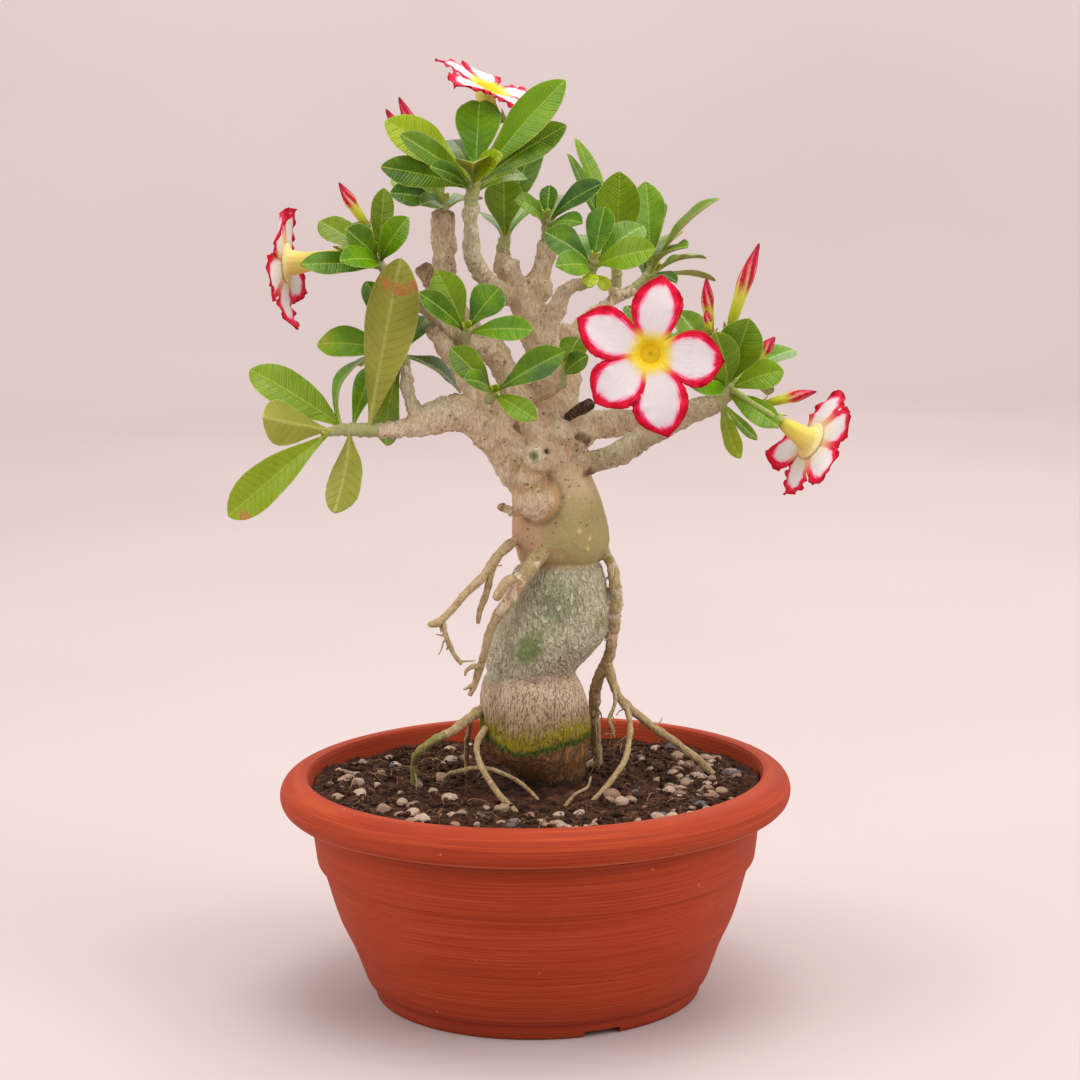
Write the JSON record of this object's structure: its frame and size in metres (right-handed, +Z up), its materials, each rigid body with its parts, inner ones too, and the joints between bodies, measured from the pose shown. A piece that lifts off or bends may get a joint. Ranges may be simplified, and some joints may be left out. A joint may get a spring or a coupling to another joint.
{
  "type": "potted desert rose",
  "caption": "Desert rose with a swollen, waisted trunk, hanging roots, leafy shoots and white blooms edged in crimson, in a round bowl of gritty soil.",
  "frame": {"origin": "on the floor under the middle of the bowl", "axes": "+Z up; -Y is the front, where the large open bloom looks; +X to the right seen from the front"},
  "size_m": [0.2967, 0.25, 0.4552],
  "materials": {
    "terracotta_plastic": "satin terracotta brown, finely scored round the wall",
    "soil": "loose dark potting mix with pale pumice",
    "bark": "smooth grey-tan bark, green on the bulges, with round leaf scars",
    "leaf": "glossy green above, pale yellow-green below, with a pale midrib",
    "bloom_tube": "soft yellow, flushed pink, lined orange inside",
    "bloom_lobes": "soft white with a waved crimson margin",
    "bud": "yellow-green tube with a furled crimson tip"
  },
  "bodies": {
    "root": {"bloom_front_lobes": "bloom_lobes", "bloom_front_tube": "bloom_tube", "bloom_left_lobes": "bloom_lobes", "bloom_left_tube": "bloom_tube", "bloom_right_lobes": "bloom_lobes", "bloom_right_tube": "bloom_tube", "bloom_top_lobes": "bloom_lobes", "bloom_top_tube": "bloom_tube", "bowl": "terracotta_plastic", "bud_hidden": "bud", "bud_left": "bud", "bud_leftTiny": "bud", "bud_overBloom": "bud", "bud_small": "bud", "bud_tall": "bud", "bud_tiny": "bud", "bud_topBack": "bud", "bud_topFront": "bud", "plant": "bark", "shoot_backRight": "leaf", "shoot_backTall": "leaf", "shoot_behindBloom": "leaf", "shoot_behindKnob": "leaf", "shoot_branchEnd": "leaf", "shoot_crown": "leaf", "shoot_cutTop": "leaf", "shoot_forkTop": "leaf", "shoot_frontHigh": "leaf", "shoot_frontLow": "leaf", "shoot_left": "leaf", "shoot_right": "leaf", "shoot_spurTop": "leaf", "shoot_thin": "leaf", "shoot_twig": "leaf", "soil": "soil"}
  },
  "joints": []
}
